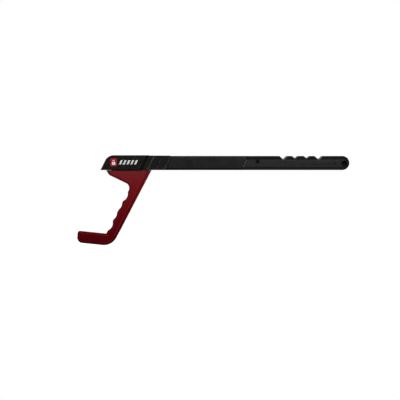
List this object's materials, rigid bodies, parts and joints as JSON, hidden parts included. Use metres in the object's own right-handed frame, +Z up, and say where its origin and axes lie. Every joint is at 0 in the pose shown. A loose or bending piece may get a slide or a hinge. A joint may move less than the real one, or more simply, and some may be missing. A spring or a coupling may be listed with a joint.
{
  "type": "steering wheel lock",
  "caption": "Steel bar lock for a steering wheel: a folding red hook grips the rim, a keyed bolt holds it, and a notched grip forms the tail.",
  "frame": {"origin": "centre of a 30 mm steering wheel rim seated in the hook, on the lock's middle plane", "axes": "+X along the bar from the nose to the tail, +Z up from the hook to the bar, -Y towards the badge side"},
  "size_m": [0.5439, 0.0569, 0.1796],
  "materials": {
    "bar_steel": "satin black powder coat on a chamfered steel tube",
    "zinc": "as-cast zinc alloy",
    "cover_black": "fine-grained black moulded cover",
    "badge": "black plate with plain white and red markings",
    "lock_metal": "nickel-plated",
    "screw_steel": "black-oxide steel fasteners",
    "spring_steel": "spring steel",
    "plate_steel": "hardened steel plate",
    "grip_plastic": "satin dark grey moulded grip",
    "ring_black": "black-painted ring",
    "hook_red": "deep red satin paint",
    "bush_brass": "turned brass",
    "plug_brass": "machined brass",
    "key_metal": "nickel-plated key steel",
    "key_plastic": "black moulded key head"
  },
  "bodies": {
    "frame": {"main_bar": "bar_steel", "nose_block": "zinc", "head_cover_front": "cover_black", "head_cover_rear": "cover_black", "head_cover_screws": "screw_steel", "badge_plate": "badge", "stepped_collar": "cover_black", "lock_housing": "zinc", "lock_housing_screws": "screw_steel", "lock_barrel": "lock_metal", "keyhole_ring": "lock_metal", "hinge_pin": "screw_steel", "hinge_ring": "spring_steel", "hinge_washer": "spring_steel", "disc_spring": "spring_steel", "tail_tang": "plate_steel", "tang_rivets": "screw_steel", "tail_grip_front": "grip_plastic", "tail_grip_rear": "grip_plastic", "grip_screws": "screw_steel", "grip_nuts": "screw_steel", "grip_pin": "screw_steel", "tail_ring": "ring_black", "tail_screw": "screw_steel", "tail_nut": "screw_steel"},
    "hook": {"hook_core": "plate_steel", "hook_shell_front": "hook_red", "hook_shell_rear": "hook_red", "hook_screws": "screw_steel", "hook_nuts": "screw_steel", "hinge_bush_front": "bush_brass", "hinge_bush_rear": "bush_brass"},
    "plug": {"lock_plug": "plug_brass", "lock_wafers": "plug_brass", "bolt_pinion": "plate_steel", "plug_ring": "spring_steel"},
    "bolt": {"lock_bolt": "plate_steel"},
    "key": {"key_blade": "key_metal", "key_bow": "key_plastic"}
  },
  "joints": [
    {"name": "hook_swing", "type": "hinge", "parent": "frame", "child": "hook", "pos_m": [0.07888, 0, 0.048], "axis": [0, -1, 0], "range_deg": [0, 117]},
    {"name": "key_turn", "type": "hinge", "parent": "frame", "child": "plug", "pos_m": [0.014, 0, 0.05575], "axis": [0, 1, 0], "range_deg": [0, 90]},
    {"name": "bolt_throw", "type": "slide", "parent": "frame", "child": "bolt", "axis": [-1, 0, 0], "range_m": [0, 0.0071]},
    {"name": "key_pull", "type": "slide", "parent": "plug", "child": "key", "axis": [0, 1, 0], "range_m": [0, 0.026]}
  ],
  "couplings": [
    {"joint": "bolt_throw", "follows": "key_turn", "m_per_rad": 0.0045}
  ]
}
